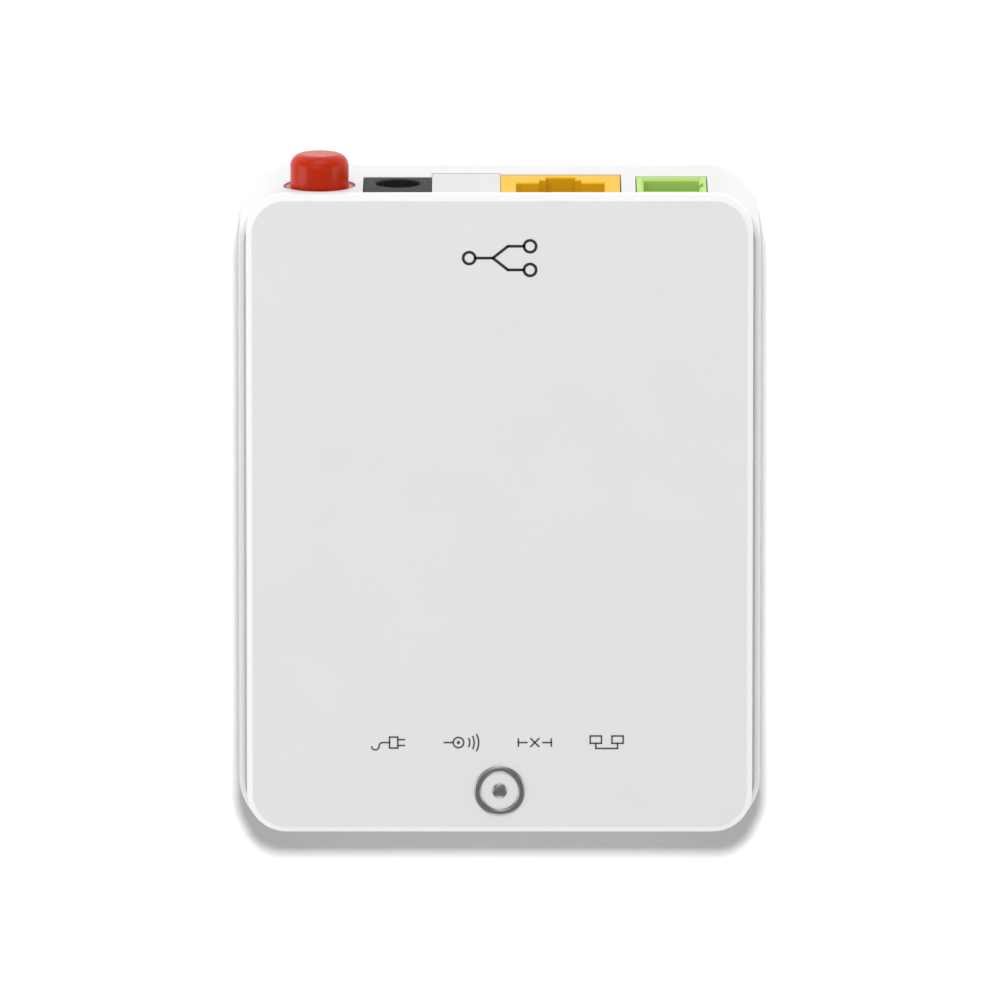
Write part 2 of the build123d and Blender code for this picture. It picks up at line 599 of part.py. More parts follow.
# ---------------------------------------------------------------- power switch and its button
BUTTON_R, BUTTON_EDGE = 3.9, 1.6
FLANGE_R, FLANGE_SETBACK, FLANGE_THICKNESS = 4.55, 0.15, 0.9
NECK_R, NECK_END_Y = 3.0, 37.4
STEM_SIZE, STEM_GAP = 3.0, 0.05
SWITCH = (8.5, 7.8, 13.0)
SWITCH_FRONT_Y = 34.5
BORE_R, BORE_LIP, BORE_END_Y = 2.9, 0.8, 27.2
COLLAR_R, COLLAR_FRONT_Y, COLLAR_THICKNESS = 2.6, 33.6, 1.0
BUTTON_TIP_Y = PORT_WALL_Y + BUTTON_STANDOUT
STEM_END_Y = 29.8
SPRING_R, SPRING_WIRE_R, SPRING_TURNS = 2.3, 0.2, 4.5

with BuildPart() as power_button:
    with BuildSketch(port_plane(NECK_END_Y)):
        with Locations((-BUTTON_X, BUTTON_Z)):
            Circle(BUTTON_R)
    extrude(amount=BUTTON_TIP_Y - NECK_END_Y)
    fillet(power_button.edges().sort_by(Axis.Y)[-1], BUTTON_EDGE)
    with BuildSketch(port_plane(PORT_WALL_Y - FLANGE_SETBACK)):
        with Locations((-BUTTON_X, BUTTON_Z)):
            Circle(FLANGE_R)
    extrude(amount=-FLANGE_THICKNESS)
    # below the flange the neck is slimmer, and a square socket takes the stem
    with BuildSketch(port_plane(NECK_END_Y)):
        with Locations((-BUTTON_X, BUTTON_Z)):
            Circle(BUTTON_R + 1)
            Circle(NECK_R, mode=Mode.SUBTRACT)
    extrude(
        amount=PORT_WALL_Y - FLANGE_SETBACK - FLANGE_THICKNESS - NECK_END_Y,
        mode=Mode.SUBTRACT,
    )
    with BuildSketch(port_plane(NECK_END_Y)):
        with Locations((-BUTTON_X, BUTTON_Z)):
            Rectangle(STEM_SIZE, STEM_SIZE)
    extrude(amount=5.0, mode=Mode.SUBTRACT)
write(power_button, "power_button")

with BuildPart() as power_switch_plunger:
    with BuildSketch(port_plane(STEM_END_Y)):
        with Locations((-BUTTON_X, BUTTON_Z)):
            Rectangle(STEM_SIZE, STEM_SIZE)
    extrude(amount=NECK_END_Y + 5.0 - STEM_END_Y)
    with BuildSketch(port_plane(COLLAR_FRONT_Y)):
        with Locations((-BUTTON_X, BUTTON_Z)):
            Circle(COLLAR_R)
    extrude(amount=-COLLAR_THICKNESS)
write(power_switch_plunger, "power_switch_plunger")

with BuildPart() as power_switch_body:
    with BuildSketch(port_plane(SWITCH_FRONT_Y)):
        with Locations((-BUTTON_X, BOARD_BOTTOM)):
            Rectangle(SWITCH[0], SWITCH[1], align=(Align.CENTER, Align.MAX))
    extrude(amount=-SWITCH[2])
    with BuildSketch(port_plane(SWITCH_FRONT_Y - BORE_LIP)):
        with Locations((-BUTTON_X, BUTTON_Z)):
            Circle(BORE_R)
    extrude(amount=-(SWITCH_FRONT_Y - BORE_LIP - BORE_END_Y), mode=Mode.SUBTRACT)
    with BuildSketch(port_plane(SWITCH_FRONT_Y)):
        with Locations((-BUTTON_X, BUTTON_Z)):
            Rectangle(STEM_SIZE + 4 * STEM_GAP, STEM_SIZE + 4 * STEM_GAP)
    extrude(amount=-BORE_LIP, mode=Mode.SUBTRACT)
write(power_switch_body, "power_switch_body")

spring_length = COLLAR_FRONT_Y - COLLAR_THICKNESS - BORE_END_Y - 2 * SPRING_WIRE_R - 0.1
with BuildPart() as power_switch_spring:
    with BuildLine():
        coil = Helix(
            pitch=spring_length / SPRING_TURNS,
            height=spring_length,
            radius=SPRING_R,
            center=(BUTTON_X, BORE_END_Y + SPRING_WIRE_R + 0.05, BUTTON_Z),
            direction=(0, 1, 0),
        )
    with BuildSketch(Plane(origin=coil @ 0, z_dir=coil % 0)):
        Circle(SPRING_WIRE_R)
    sweep(is_frenet=True)
write(power_switch_spring, "power_switch_spring")

# ---------------------------------------------------------------- reset switch behind the left wall
RESET_BODY = (3.4, 6.0, 3.4)
RESET_BODY_X = -30.4
RESET_PLUNGER_R, RESET_STANDOUT = 0.75, 1.5

with BuildPart() as reset_switch_body:
    with Locations((RESET_BODY_X, RESET_Y, BOARD_BOTTOM)):
        Box(*RESET_BODY, align=(Align.MIN, Align.CENTER, Align.MAX))
    with BuildSketch(Plane.YZ.offset(RESET_BODY_X)):
        with Locations((RESET_Y, RESET_Z)):
            Circle(RESET_PLUNGER_R + STEM_GAP)
    extrude(amount=1.6, mode=Mode.SUBTRACT)
write(reset_switch_body, "reset_switch_body")

with BuildPart() as reset_switch_plunger:
    with BuildSketch(Plane.YZ.offset(RESET_BODY_X - RESET_STANDOUT)):
        with Locations((RESET_Y, RESET_Z)):
            Circle(RESET_PLUNGER_R)
    extrude(amount=RESET_STANDOUT + 1.2)
write(reset_switch_plunger, "reset_switch_plunger")

# ---------------------------------------------------------------- optical adapter
MOUTH_WIDTH, MOUTH_HEIGHT = 7.4, 9.0
KEY_SLOT = (0.55, 7.0, 2.4)
MOUTH_BEVEL = 0.35
HOLDER_FRONT_SETBACK, HOLDER_BACK_SETBACK = 4.7, 16.0
HOLDER_R, HOLDER_BORE_R, HOLDER_LIP_R = 2.4, 1.65, 1.4
HOLDER_PLATE = 2.0
SLEEVE_R, SLEEVE_BORE_R, SLEEVE_GROOVE_R, SLEEVE_SLIT = 1.6, 1.25, 1.42, 0.4
SLEEVE_LENGTH = 9.9
HOLDER_MIDDLE_Y = PORT_FACE_Y - (HOLDER_FRONT_SETBACK + HOLDER_BACK_SETBACK) / 2
OPTICAL_CENTRE = (-OPTICAL_X, OPTICAL_Z)  # on port_plane

with BuildPart() as optical_adapter:
    with BuildSketch(port_plane(PORT_FACE_Y)):
        with Locations(OPTICAL_CENTRE):
            Rectangle(OPTICAL_ADAPTER[0], OPTICAL_ADAPTER[1])
            Rectangle(MOUTH_WIDTH, MOUTH_HEIGHT, mode=Mode.SUBTRACT)
    extrude(amount=-OPTICAL_ADAPTER[2])
    mouth = optical_adapter.faces().sort_by(Axis.Y)[-1]
    chamfer(mouth.inner_wires()[0].edges(), MOUTH_BEVEL)
    # the plug's key runs in a slot in the right wall, open at the mouth
    with Locations((OPTICAL_X + MOUTH_WIDTH / 2, PORT_FACE_Y, OPTICAL_Z)):
        Box(*KEY_SLOT, align=(Align.MIN, Align.MAX, Align.CENTER), mode=Mode.SUBTRACT)
write(optical_adapter, "optical_adapter")

with BuildPart() as ferrule_holder:
    with BuildSketch(port_plane(HOLDER_MIDDLE_Y + HOLDER_PLATE / 2)):
        with Locations(OPTICAL_CENTRE):
            Rectangle(MOUTH_WIDTH, MOUTH_HEIGHT)
    extrude(amount=-HOLDER_PLATE)
    with BuildSketch(port_plane(PORT_FACE_Y - HOLDER_FRONT_SETBACK)):
        with Locations(OPTICAL_CENTRE):
            Circle(HOLDER_R)
    extrude(amount=HOLDER_FRONT_SETBACK - HOLDER_BACK_SETBACK)
    with BuildSketch(port_plane(HOLDER_MIDDLE_Y + SLEEVE_LENGTH / 2 + TOUCH_GAP)):
        with Locations(OPTICAL_CENTRE):
            Circle(HOLDER_BORE_R)
    extrude(amount=-(SLEEVE_LENGTH + 2 * TOUCH_GAP), mode=Mode.SUBTRACT)
    with BuildSketch(port_plane(PORT_FACE_Y)):
        with Locations(OPTICAL_CENTRE):
            Circle(HOLDER_LIP_R)
    extrude(amount=-OPTICAL_ADAPTER[2], mode=Mode.SUBTRACT)
    # latch arms above and below the tube, with hooks that grip the plug
    for side in (-1, 1):
        with Locations((OPTICAL_X, HOLDER_MIDDLE_Y, OPTICAL_Z + side * (MOUTH_HEIGHT / 2 - 0.75))):
            Box(3.0, 10.4, 0.9)
        with Locations(
            (OPTICAL_X, HOLDER_MIDDLE_Y + 5.2, OPTICAL_Z + side * (MOUTH_HEIGHT / 2 - 1.0))
        ):
            Box(3.0, 0.9, 1.4, align=(Align.CENTER, Align.MAX, Align.CENTER))
write(ferrule_holder, "ferrule_holder")

with BuildPart() as alignment_sleeve:
    with BuildSketch(port_plane(HOLDER_MIDDLE_Y + SLEEVE_LENGTH / 2)):
        with Locations(OPTICAL_CENTRE):
            Circle(SLEEVE_R)
            Circle(SLEEVE_BORE_R, mode=Mode.SUBTRACT)
    extrude(amount=-SLEEVE_LENGTH)
    # a relief groove half way along, where the two ferrules' faces meet
    with BuildSketch(port_plane(HOLDER_MIDDLE_Y + 0.3)):
        with Locations(OPTICAL_CENTRE):
            Circle(SLEEVE_GROOVE_R)
    extrude(amount=-0.6, mode=Mode.SUBTRACT)
    with Locations((OPTICAL_X, HOLDER_MIDDLE_Y, OPTICAL_Z)):
        Box(
            SLEEVE_SLIT,
            SLEEVE_LENGTH,
            SLEEVE_R + 1,
            align=(Align.CENTER, Align.CENTER, Align.MAX),
            mode=Mode.SUBTRACT,
        )
write(alignment_sleeve, "alignment_sleeve")

# ---------------------------------------------------------------- pigtail from the optical module
PLUG_BODY = (6.4, 6.0)
PLUG_FRONT_Y = HOLDER_MIDDLE_Y - HOLDER_PLATE / 2 - 0.5
PLUG_BACK_Y = 15.0
FERRULE_R = 1.225
FERRULE_BACK_Y = HOLDER_MIDDLE_Y - 10.0
BOOT_END_Y = 5.0
FIBRE_R = 0.45

with BuildPart() as pigtail_plug:
    with BuildSketch(port_plane(PLUG_FRONT_Y)):
        with Locations(OPTICAL_CENTRE):
            RectangleRounded(PLUG_BODY[0], PLUG_BODY[1], 0.6)
    extrude(amount=PLUG_BACK_Y - PLUG_FRONT_Y)
    with BuildSketch(port_plane(PLUG_FRONT_Y)):
        with Locations(OPTICAL_CENTRE):
            Circle(HOLDER_R + TOUCH_GAP)
    extrude(
        amount=-(PLUG_FRONT_Y - PORT_FACE_Y + HOLDER_BACK_SETBACK + TOUCH_GAP),
        mode=Mode.SUBTRACT,
    )
    with BuildSketch(port_plane(PLUG_FRONT_Y)):
        with Locations(OPTICAL_CENTRE):
            Circle(FERRULE_R)
    extrude(amount=FERRULE_BACK_Y - PLUG_FRONT_Y, mode=Mode.SUBTRACT)
write(pigtail_plug, "pigtail_plug")

with BuildPart() as pigtail_ferrule:
    with BuildSketch(port_plane(HOLDER_MIDDLE_Y)):
        with Locations(OPTICAL_CENTRE):
            Circle(FERRULE_R)
    extrude(amount=FERRULE_BACK_Y - HOLDER_MIDDLE_Y)
    chamfer(pigtail_ferrule.edges().sort_by(Axis.Y)[-1], 0.2)
write(pigtail_ferrule, "pigtail_ferrule")

with BuildPart() as pigtail_boot:
    with BuildSketch(port_plane(PLUG_BACK_Y)):
        with Locations(OPTICAL_CENTRE):
            Circle(2.0)
    with BuildSketch(port_plane(BOOT_END_Y)):
        with Locations(OPTICAL_CENTRE):
            Circle(1.0)
    loft()
write(pigtail_boot, "pigtail_boot")

# The fibre leaves the boot, drops to the clips, goes round in a wide loop and rises to the module.
MODULE_X, MODULE_Y, MODULE_Z = -4.0, 6.5, 15.2
MODULE_BODY = (9.0, 6.6, 6.6)
MODULE_BOOT_X = MODULE_X - MODULE_BODY[0] / 2 - 4.0
LOOP_X, LOOP_Y, LOOP_Z = 22.8, -23.2, 9.2
fibre_route = [
    (OPTICAL_X, BOOT_END_Y, OPTICAL_Z),
    (OPTICAL_X, BOOT_END_Y - 4.5, OPTICAL_Z),
    (OPTICAL_X, -8.5, LOOP_Z),
    (OPTICAL_X, LOOP_Y, LOOP_Z),
    (-LOOP_X, LOOP_Y, LOOP_Z),
    (-LOOP_X, -4.0, LOOP_Z),
    (-LOOP_X, MODULE_Y, MODULE_Z),
    (MODULE_BOOT_X, MODULE_Y, MODULE_Z),
]
fibre_radii = [9.0, 9.0, 11.0, 12.0, 12.0, 8.0]

with BuildPart() as fibre_pigtail:
    with BuildLine() as fibre_line:
        FilletPolyline(*fibre_route, radius=fibre_radii)
    with BuildSketch(Plane(origin=fibre_line.wires()[0] @ 0, z_dir=fibre_line.wires()[0] % 0)):
        Circle(FIBRE_R)
    sweep()
write(fibre_pigtail, "fibre_pigtail")

# ---------------------------------------------------------------- optical module
with BuildPart() as optical_module:
    with Locations((MODULE_X, MODULE_Y, MODULE_Z)):
        Box(*MODULE_BODY)
    fillet(optical_module.edges().filter_by(Axis.X), 0.8)
    with BuildSketch(Plane.YZ.offset(MODULE_BOOT_X)):
        with Locations((MODULE_Y, MODULE_Z)):
            Circle(1.1)
    extrude(amount=4.5)
write(optical_module, "optical_module")

with BuildPart() as laser_can:
    with BuildSketch(Plane.YZ.offset(MODULE_X + MODULE_BODY[0] / 2)):
        with Locations((MODULE_Y, MODULE_Z)):
            Circle(2.8)
    extrude(amount=1.2)
    with BuildSketch(Plane.YZ.offset(MODULE_X + MODULE_BODY[0] / 2 + 1.2)):
        with Locations((MODULE_Y, MODULE_Z)):
            Circle(2.3)
    extrude(amount=1.6)
write(laser_can, "laser_can")

with BuildPart() as detector_can:
    with BuildSketch(Plane.XZ.offset(-MODULE_Y + MODULE_BODY[1] / 2)):
        with Locations((MODULE_X + 0.8, MODULE_Z)):
            Circle(2.3)
    extrude(amount=1.6)
write(detector_can, "detector_can")

with BuildPart() as module_clamp:
    with Locations((MODULE_X, MODULE_Y, BOARD_BOTTOM)):
        Box(
            5.0,
            7.6,
            BOARD_BOTTOM - MODULE_Z - MODULE_BODY[2] / 2 - TOUCH_GAP,
            align=(Align.CENTER, Align.CENTER, Align.MAX),
        )
write(module_clamp, "module_clamp")

# ---------------------------------------------------------------- feet and fasteners
SCREW_HEAD_R, SCREW_HEAD_HEIGHT, SCREW_SHANK_R = 2.2, 1.6, 1.2

with BuildPart() as rubber_feet:
    with BuildSketch(Plane.XY):
        with Locations(*FEET):
            Circle(FOOT_R)
    extrude(amount=HOUSING_BOTTOM_Z + FOOT_SOCKET)
    fillet(rubber_feet.edges().group_by(Axis.Z)[0], 0.3)
write(rubber_feet, "rubber_feet")

with BuildPart() as case_screws:
    with BuildSketch(Plane.XY.offset(SCREW_SEAT_Z - SCREW_HEAD_HEIGHT)):
        with Locations(*CASE_SCREWS):
            Circle(SCREW_HEAD_R)
    extrude(amount=SCREW_HEAD_HEIGHT)
    fillet(case_screws.edges().group_by(Axis.Z)[0], 0.4)
    with BuildSketch(Plane.XY.offset(SCREW_SEAT_Z)):
        with Locations(*CASE_SCREWS):
            Circle(SCREW_SHANK_R)
    extrude(amount=7.2)
    # cross recess
    for length, width in [(2.4, 0.6), (0.6, 2.4)]:
        with Locations(*[(x, y, SCREW_SEAT_Z - SCREW_HEAD_HEIGHT) for x, y in CASE_SCREWS]):
            Box(length, width, 1.6, mode=Mode.SUBTRACT)
write(case_screws, "case_screws")

with BuildPart() as board_screws:
    with BuildSketch(Plane.XY.offset(BOARD_TOP_Z)):
        with Locations(*BOARD_SCREWS):
            Circle(1.8)
    extrude(amount=1.0)
    fillet(board_screws.edges().group_by(Axis.Z)[-1], 0.3)
    with BuildSketch(Plane.XY.offset(BOARD_TOP_Z)):
        with Locations(*BOARD_SCREWS):
            Circle(1.0)
    extrude(amount=-5.5)
write(board_screws, "board_screws")
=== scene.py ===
import json
import math

import bmesh
import bpy
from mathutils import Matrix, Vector


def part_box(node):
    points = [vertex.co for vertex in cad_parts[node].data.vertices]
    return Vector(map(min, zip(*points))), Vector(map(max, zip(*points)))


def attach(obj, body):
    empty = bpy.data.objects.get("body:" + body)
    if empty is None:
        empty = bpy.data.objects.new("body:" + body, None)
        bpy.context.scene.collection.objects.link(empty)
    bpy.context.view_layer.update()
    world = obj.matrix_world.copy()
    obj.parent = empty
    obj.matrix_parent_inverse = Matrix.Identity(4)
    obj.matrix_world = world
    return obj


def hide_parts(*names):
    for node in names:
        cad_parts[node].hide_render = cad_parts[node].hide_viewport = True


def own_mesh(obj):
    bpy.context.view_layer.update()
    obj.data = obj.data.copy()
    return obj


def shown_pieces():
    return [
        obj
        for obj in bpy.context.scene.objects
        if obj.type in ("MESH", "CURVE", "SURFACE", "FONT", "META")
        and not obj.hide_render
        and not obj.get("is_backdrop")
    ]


MM = 0.001

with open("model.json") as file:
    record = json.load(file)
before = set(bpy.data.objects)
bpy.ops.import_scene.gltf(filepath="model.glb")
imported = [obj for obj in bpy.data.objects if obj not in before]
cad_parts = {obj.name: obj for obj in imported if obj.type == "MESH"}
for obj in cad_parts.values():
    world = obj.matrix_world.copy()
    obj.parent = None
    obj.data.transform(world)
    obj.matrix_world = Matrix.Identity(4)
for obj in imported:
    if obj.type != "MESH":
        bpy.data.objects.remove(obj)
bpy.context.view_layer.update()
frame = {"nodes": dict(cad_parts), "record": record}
record = frame["record"]
nodes = frame["nodes"]

# ---------------------------------------------------------------- places, from the frame
cover_low, cover_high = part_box("front_cover")
face_z = cover_high.z
front_y = cover_low.y
wall_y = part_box("rear_housing")[1].y
led_low, led_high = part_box("status_leds")

# ---------------------------------------------------------------- camera and studio
VIEW_TILT = math.radians(11.3)  # towards the wall with the ports
VIEW_DISTANCE = 3.0
VIEW_WIDTH = 133.33 * MM  # what the frame shows across, at the object
AIM = Vector((0.05 * MM, wall_y - 41.46 * MM, face_z - 1.0 * MM))
SENSOR_WIDTH = 36.0
CLIP_NEAR, CLIP_FAR = 0.1, 20.0


def make_camera():
    data = bpy.data.cameras.new("camera")
    data.sensor_width = SENSOR_WIDTH
    data.lens = SENSOR_WIDTH * VIEW_DISTANCE / VIEW_WIDTH
    data.clip_start, data.clip_end = CLIP_NEAR, CLIP_FAR
    camera = bpy.data.objects.new("camera", data)
    bpy.context.scene.collection.objects.link(camera)
    back = Vector((0, math.sin(VIEW_TILT), math.cos(VIEW_TILT)))
    camera.location = AIM + back * VIEW_DISTANCE
    camera.rotation_euler = (-VIEW_TILT, 0, 0)
    bpy.context.scene.camera = camera


def make_softbox(name, azimuth, elevation, distance, size, strength, lights):
    """A square soft light that faces the object and lights only one collection.

    Azimuth 0 stands at the port side and 90 at the left. Strength is what it adds to a white card
    that faces it.
    """
    data = bpy.data.lights.new(name, "AREA")
    data.shape = "SQUARE"
    data.size = size
    data.energy = strength * (math.pi * distance) ** 2
    light = bpy.data.objects.new(name, data)
    bpy.context.scene.collection.objects.link(light)
    a, e = math.radians(azimuth), math.radians(elevation)
    out = Vector((-math.sin(a) * math.cos(e), math.cos(a) * math.cos(e), math.sin(e)))
    light.location = out * distance
    light.rotation_euler = out.to_track_quat("Z", "Y").to_euler()
    light.light_linking.receiver_collection = lights


SKY = 0.36
# name: (azimuth, elevation, distance, size, strength)
FLOOR_LIGHT = ("floor_light", 0, 74.0, 0.9, 0.07, 0.95)
OBJECT_LIGHTS = (
    ("key_light", 25, 60, 0.6, 0.4, 0.16),
    ("port_side_light", 0, 22, 0.8, 0.5, 0.36),
    ("left_light", 90, 20, 0.8, 0.5, 0.42),
    ("right_light", -90, 20, 0.8, 0.5, 0.38),
    ("front_side_light", 180, 20, 0.8, 0.5, 0.38),
)


def make_studio(floor):
    """A high-key product table: the floor has its own strong light, and the object has softer ones."""
    world = bpy.data.worlds.new("studio")
    bpy.context.scene.world = world
    world.use_nodes = True
    tree = world.node_tree
    background = tree.nodes["Background"]
    background.inputs["Color"].default_value = (1.0, 1.0, 1.0, 1.0)
    # the camera sees plain white past the floor, and the object is lit by a dimmer sky
    ray = tree.nodes.new("ShaderNodeLightPath")
    sky = tree.nodes.new("ShaderNodeMapRange")
    sky.inputs["To Min"].default_value = SKY
    sky.inputs["To Max"].default_value = 1.0
    tree.links.new(ray.outputs["Is Camera Ray"], sky.inputs["Value"])
    tree.links.new(sky.outputs["Result"], background.inputs["Strength"])
    on_floor = bpy.data.collections.new("lit_floor")
    on_floor.objects.link(floor)
    on_object = bpy.data.collections.new("lit_object")
    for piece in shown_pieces():
        on_object.objects.link(piece)
    make_softbox(*FLOOR_LIGHT, on_floor)
    for light in OBJECT_LIGHTS:
        make_softbox(*light, on_object)
    bpy.context.scene.view_settings.view_transform = "Standard"
    bpy.context.scene.view_settings.look = "None"


# ---------------------------------------------------------------- materials
class Shader:
    """A Principled material with short ways to add procedural texture, in object space."""

    def __init__(self, name, colour, roughness=0.5, metallic=0.0, **sockets):
        self.material = bpy.data.materials.new(name)
        self.material.use_nodes = True
        self.tree = self.material.node_tree
        self.bsdf = self.tree.nodes["Principled BSDF"]
        self.bsdf.inputs["Base Color"].default_value = (*colour, 1.0)
        self.bsdf.inputs["Roughness"].default_value = roughness
        self.bsdf.inputs["Metallic"].default_value = metallic
        for socket, value in sockets.items():
            self.bsdf.inputs[socket.replace("_", " ")].default_value = value
        self.coordinates = self.node("ShaderNodeTexCoord").outputs
        self.place = self.coordinates["Object"]

    def node(self, kind, **settings):
        made = self.tree.nodes.new(kind)
        for key, value in settings.items():
            setattr(made, key, value)
        return made

    def link(self, output, target):
        self.tree.links.new(output, target)

    def noise(self, size_mm, detail=4.0, roughness=0.55, stretch=(1, 1, 1)):
        """Noise whose blotches are about size_mm across, before stretch."""
        mapping = self.node("ShaderNodeMapping")
        mapping.inputs["Scale"].default_value = [s / (size_mm * MM) for s in stretch]
        self.link(self.place, mapping.inputs["Vector"])
        noise = self.node("ShaderNodeTexNoise")
        noise.inputs["Scale"].default_value = 1.0
        noise.inputs["Detail"].default_value = detail
        noise.inputs["Roughness"].default_value = roughness
        self.link(mapping.outputs["Vector"], noise.inputs["Vector"])
        return noise.outputs["Fac"]

    def ranged(self, value, low, high, start=0.3, end=0.7):
        """A value between start and end, spread out to low..high."""
        remap = self.node("ShaderNodeMapRange")
        remap.inputs["From Min"].default_value = start
        remap.inputs["From Max"].default_value = end
        remap.inputs["To Min"].default_value = low
        remap.inputs["To Max"].default_value = high
        self.link(value, remap.inputs["Value"])
        return remap.outputs["Result"]

    def tint(self, value, low, high):
        """Base colour that runs from low to high with value."""
        mix = self.node("ShaderNodeMix", data_type="RGBA")
        mix.inputs["A"].default_value = (*low, 1.0)
        mix.inputs["B"].default_value = (*high, 1.0)
        self.link(value, mix.inputs["Factor"])
        self.link(mix.outputs["Result"], self.bsdf.inputs["Base Color"])

    def rough(self, value, low, high):
        self.link(self.ranged(value, low, high), self.bsdf.inputs["Roughness"])

    def bump(self, value, depth_mm):
        bump = self.node("ShaderNodeBump")
        bump.inputs["Strength"].default_value = 1.0
        bump.inputs["Distance"].default_value = depth_mm * MM
        self.link(value, bump.inputs["Height"])
        self.link(bump.outputs["Normal"], self.bsdf.inputs["Normal"])


def shade(colour, factor):
    return tuple(min(c * factor, 1.0) for c in colour)


def moulded_plastic(name, colour, roughness, grain_mm=0.16, grain_depth=0.006, vary=0.02, **sockets):
    """Injection-moulded plastic: fine spark-eroded grain, and a faint drift in colour and gloss."""
    look = Shader(name, colour, roughness, **sockets)
    drift = look.noise(9.0, detail=3.0)
    grain = look.noise(grain_mm, detail=2.0, roughness=0.6)
    look.tint(look.ranged(drift, 0.0, 1.0), shade(colour, 1.0 - vary), shade(colour, 1.0 + vary))
    look.rough(grain, roughness - 0.06, roughness + 0.06)
    look.bump(grain, grain_depth)
    return look


def plated_metal(name, colour, roughness, brush=(1, 1, 1), **sockets):
    """Plated or brushed metal: fine lines along the unstretched axis."""
    look = Shader(name, colour, roughness, 1.0, **sockets)
    lines = look.noise(0.12, detail=3.0, stretch=brush)
    stains = look.noise(3.0, detail=4.0)
    look.tint(look.ranged(stains, 0.0, 1.0), shade(colour, 0.9), shade(colour, 1.05))
    look.rough(lines, roughness - 0.08, roughness + 0.1)
    look.bump(lines, 0.004)
    return look


WHITE = (0.825, 0.82, 0.828)
# the shell, the blank plate and the cover's bevel against that white; the shell's darker white is painted
# shade, and the bevel's lighter white is a painted highlight
SHELL_PAINTED_SHADE, BLANK_SHADE, BEVEL_PAINTED_HIGHLIGHT = 0.89, 0.82, 1.06


def white_shell():
    # painted shade: the shell takes a darker copy of the cover's white, which dims its lit port wall and
    # shoulders
    return moulded_plastic(
        "white_shell", shade(WHITE, SHELL_PAINTED_SHADE), 0.5, vary=0.008, Specular_IOR_Level=0.2
    )


def white_cover():
    """A satin face inside a bevel with a painted highlight: the base colour is lighter where the surface
    turns from +Z.
    """
    look = moulded_plastic("white_cover", WHITE, 0.5, vary=0.008, Specular_IOR_Level=0.3)
    turn = look.node("ShaderNodeSeparateXYZ")
    look.link(look.coordinates["Normal"], turn.inputs["Vector"])
    # painted highlight: the base colour is lifted on the bevel, picked out by the normal turning from +Z
    painted_highlight_mask = look.ranged(turn.outputs["Z"], 1.0, 0.0, 0.78, 0.96)
    face = look.bsdf.inputs["Base Color"].links[0].from_socket
    mix = look.node("ShaderNodeMix", data_type="RGBA")
    mix.inputs["B"].default_value = (*shade(WHITE, BEVEL_PAINTED_HIGHLIGHT), 1.0)
    look.link(painted_highlight_mask, mix.inputs["Factor"])
    look.link(face, mix.inputs["A"])
    look.link(mix.outputs["Result"], look.bsdf.inputs["Base Color"])
    return look


def blank_plastic():
    return moulded_plastic(
        "blank_plastic", shade(WHITE, BLANK_SHADE), 0.55, vary=0.01, Specular_IOR_Level=0.2
    )


def orange_button():
    look = moulded_plastic(
        "orange_button", (0.50, 0.024, 0.003), 0.3, 0.3, 0.001, vary=0.06, Specular_IOR_Level=0.1
    )
    look.bsdf.inputs["Coat Weight"].default_value = 0.1
    look.bsdf.inputs["Coat Roughness"].default_value = 0.12
    return look


def yellow_plastic():
    return moulded_plastic("yellow_plastic", (0.83, 0.48, 0.006), 0.5, vary=0.03, Specular_IOR_Level=0.15)


def green_plastic():
    return moulded_plastic("green_plastic", (0.46, 0.70, 0.17), 0.5, vary=0.03, Specular_IOR_Level=0.2)


def charcoal_plastic():
    return moulded_plastic(
        "charcoal_plastic", (0.02, 0.021, 0.023), 0.6, 0.22, 0.01, vary=0.15, Specular_IOR_Level=0.12
    )


def zirconia():
    look = moulded_plastic("zirconia", (0.83, 0.82, 0.78), 0.16, 0.4, 0.001, vary=0.02)
    look.bsdf.inputs["Subsurface Weight"].default_value = 0.2
    look.bsdf.inputs["Subsurface Radius"].default_value = (0.0008, 0.0006, 0.0004)
    look.bsdf.inputs["Subsurface Scale"].default_value = 1.0
    return look


def soft_rubber(name, colour):
    look = moulded_plastic(name, colour, 0.78, 0.3, 0.02, vary=0.12)
    look.bsdf.inputs["Sheen Weight"].default_value = 0.15
    return look


BOARD_CELLS = 420.0  # cells of track per metre
TRACK_PHASE = 34.0  # radians of ring per cell


def circuit_board():
    """Green solder mask over copper tracks, which run as nested squares."""
    look = Shader("circuit_board", (0.01, 0.11, 0.045), 0.32)
    mapping = look.node("ShaderNodeMapping")
    mapping.inputs["Scale"].default_value = (BOARD_CELLS, BOARD_CELLS, 0.0)
    look.link(look.place, mapping.inputs["Vector"])
    cells = look.node("ShaderNodeTexVoronoi", distance="CHEBYCHEV", feature="F1")
    cells.inputs["Scale"].default_value = 1.0
    look.link(mapping.outputs["Vector"], cells.inputs["Vector"])
    rings = look.node("ShaderNodeMath", operation="SINE")
    phase = look.node("ShaderNodeMath", operation="MULTIPLY")
    phase.inputs[1].default_value = TRACK_PHASE
    look.link(cells.outputs["Distance"], phase.inputs[0])
    look.link(phase.outputs["Value"], rings.inputs[0])
    tracks = look.ranged(rings.outputs["Value"], 0.0, 1.0, 0.35, 0.6)
    look.tint(tracks, (0.008, 0.085, 0.035), (0.02, 0.17, 0.07))
    look.bump(tracks, 0.03)
    look.rough(look.noise(0.6), 0.25, 0.4)
    return look


def chip_black():
    return moulded_plastic("chip_black", (0.022, 0.022, 0.024), 0.55, 0.12, 0.01, vary=0.2)


def ferrite():
    return moulded_plastic("ferrite", (0.06, 0.058, 0.056), 0.6, 0.25, 0.02, vary=0.25)


def ceramic_parts():
    return moulded_plastic("ceramic_parts", (0.34, 0.24, 0.15), 0.4, 0.2, 0.004, vary=0.35)


def thermal_pad():
    return soft_rubber("thermal_pad", (0.32, 0.38, 0.52))


